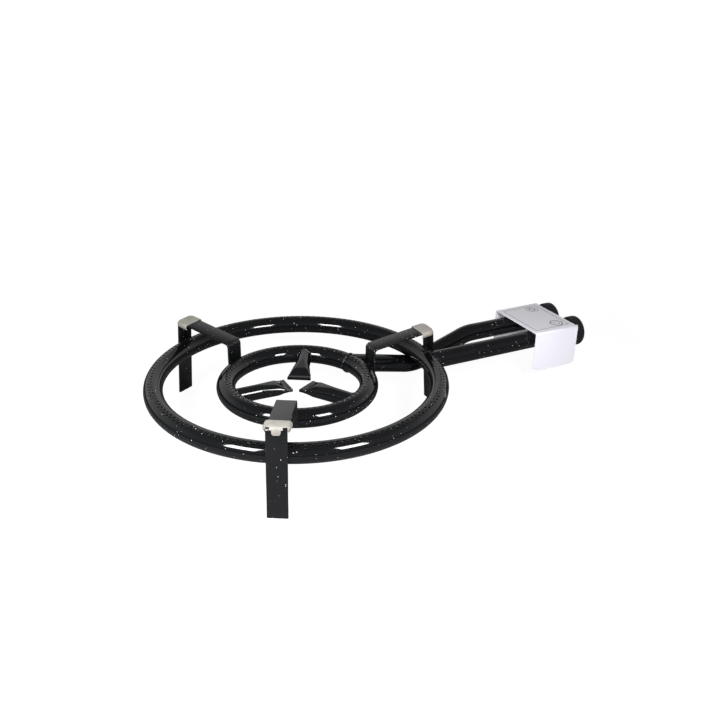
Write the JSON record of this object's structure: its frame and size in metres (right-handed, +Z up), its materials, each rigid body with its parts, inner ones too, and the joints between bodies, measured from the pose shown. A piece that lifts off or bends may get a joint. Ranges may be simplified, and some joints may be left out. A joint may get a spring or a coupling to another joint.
{
  "type": "paella burner",
  "caption": "Ring gas burner of enamelled tube on bent flat-bar supports with steel pan clips; the feed tubes make a handle that ends in knob-turned gas taps under a folded cover.",
  "frame": {"origin": "on the floor, under the middle of the part's bounding box", "axes": "+X along the handle from the rings to the knobs, +Z up"},
  "size_m": [0.6422, 0.4, 0.1159],
  "materials": {
    "enamel": "glossy black vitreous enamel with pale flecks",
    "bar_enamel": "satin black enamel",
    "clip_steel": "bare pressed steel",
    "plain_steel": "zinc plated",
    "brass": "turned brass",
    "pipe_steel": "drawn pipe",
    "knob_plastic": "moulded black thermoset",
    "washer_rubber": "black sealing rubber",
    "cover_lacquer": "pale lacquer on folded steel sheet"
  },
  "bodies": {
    "burner": {"outer_ring": "enamel", "inner_ring": "enamel", "spur_back": "enamel", "spur_left": "enamel", "spur_right": "enamel", "outer_feed_tube": "enamel", "inner_feed_tube": "enamel", "support_handle": "bar_enamel", "support_left": "bar_enamel", "support_front": "bar_enamel", "clip_handle": "clip_steel", "clip_left": "clip_steel", "clip_front": "clip_steel", "outer_end_bush": "plain_steel", "inner_end_bush": "plain_steel", "panel_nuts": "plain_steel", "outer_injector": "brass", "inner_injector": "brass", "outer_tap_body": "brass", "inner_tap_body": "brass", "outer_bonnet": "brass", "inner_bonnet": "brass", "union_nuts": "brass", "hose_nozzle": "brass", "gas_manifold": "pipe_steel", "nozzle_washer": "washer_rubber", "tap_cover": "cover_lacquer"},
    "outer_control": {"outer_plug": "brass", "outer_knob": "knob_plastic"},
    "inner_control": {"inner_plug": "brass", "inner_knob": "knob_plastic"}
  },
  "joints": [
    {"name": "outer_tap_turn", "type": "hinge", "parent": "burner", "child": "outer_control", "pos_m": [0.3081, -0.0295, 0.0775], "axis": [1, 0, 0], "range_deg": [0, 210]},
    {"name": "inner_tap_turn", "type": "hinge", "parent": "burner", "child": "inner_control", "pos_m": [0.3081, 0.0295, 0.0775], "axis": [1, 0, 0], "range_deg": [0, 210]}
  ]
}
